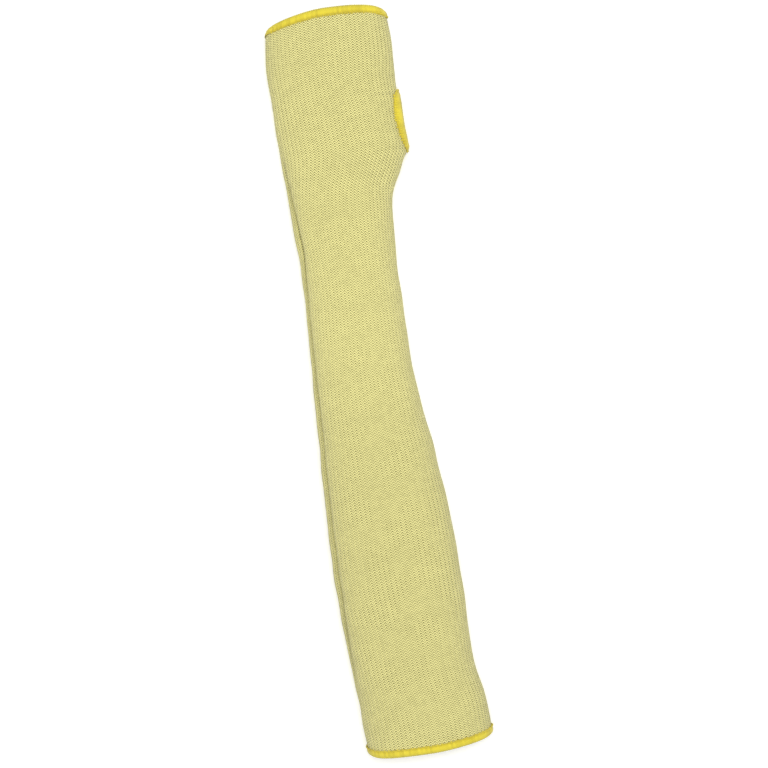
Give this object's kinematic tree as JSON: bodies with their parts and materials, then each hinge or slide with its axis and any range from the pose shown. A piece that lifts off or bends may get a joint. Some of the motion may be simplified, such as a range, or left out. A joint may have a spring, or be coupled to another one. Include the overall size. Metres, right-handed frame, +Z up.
{
  "type": "cut resistant sleeve",
  "caption": "Knitted tube sleeve for the forearm and hand, with bound rims and a bound thumb slot in one side, lying on its back.",
  "frame": {"origin": "on the surface that the sleeve lies on, under the middle of the whole sleeve's box", "axes": "+Y along the sleeve towards the hand end, +X towards the side with the thumb slot, +Z up out of the surface"},
  "size_m": [0.0836, 0.457, 0.0441],
  "materials": {
    "knit": "matt pale yellow plain knit",
    "overlock_thread": "soft sheen bright yellow overlock stitching"
  },
  "bodies": {
    "root": {"sleeve_body": "knit", "hand_binding": "overlock_thread", "arm_binding": "overlock_thread", "thumb_binding": "overlock_thread"}
  },
  "joints": []
}
